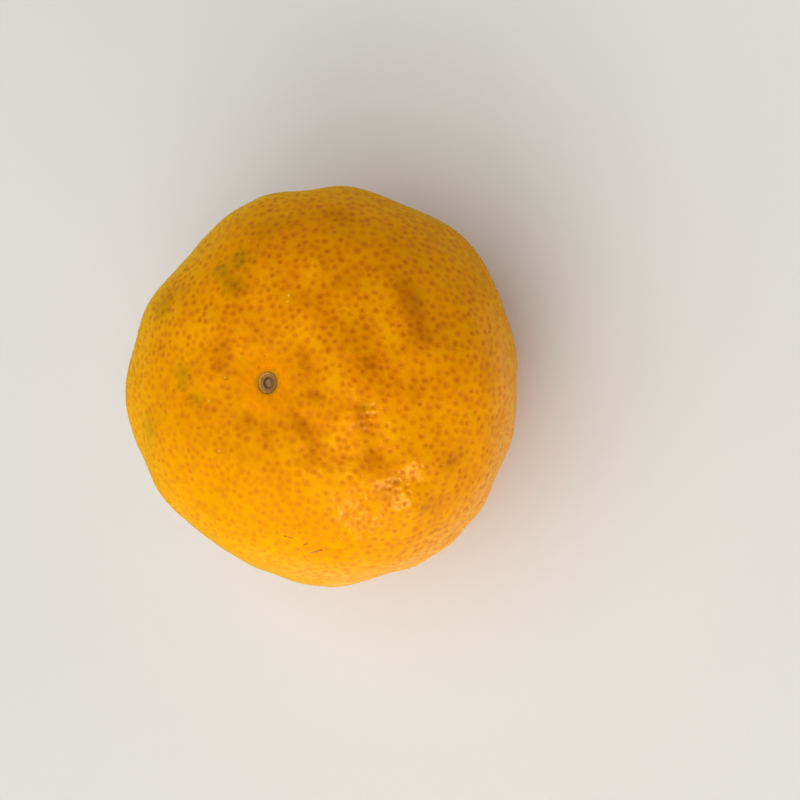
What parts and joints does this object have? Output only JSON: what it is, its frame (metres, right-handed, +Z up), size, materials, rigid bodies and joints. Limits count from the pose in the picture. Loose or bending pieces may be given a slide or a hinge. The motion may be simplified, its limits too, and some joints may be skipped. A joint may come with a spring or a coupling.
{
  "type": "mandarin",
  "caption": "Whole loose-skinned mandarin, a squat round citrus fruit with dimpled rind, a corky style scar on top and a calyx star with a clipped stem below.",
  "frame": {"origin": "on the table, under the middle of the fruit's outline", "axes": "+Z up along the fruit's axis, from the stem end to the blossom end"},
  "size_m": [0.0624, 0.0634, 0.0477],
  "materials": {
    "rind": "satin",
    "style_scar": "matte",
    "calyx": "matte"
  },
  "bodies": {
    "root": {"fruit": "rind", "style_scar": "style_scar", "calyx": "calyx"}
  },
  "joints": []
}
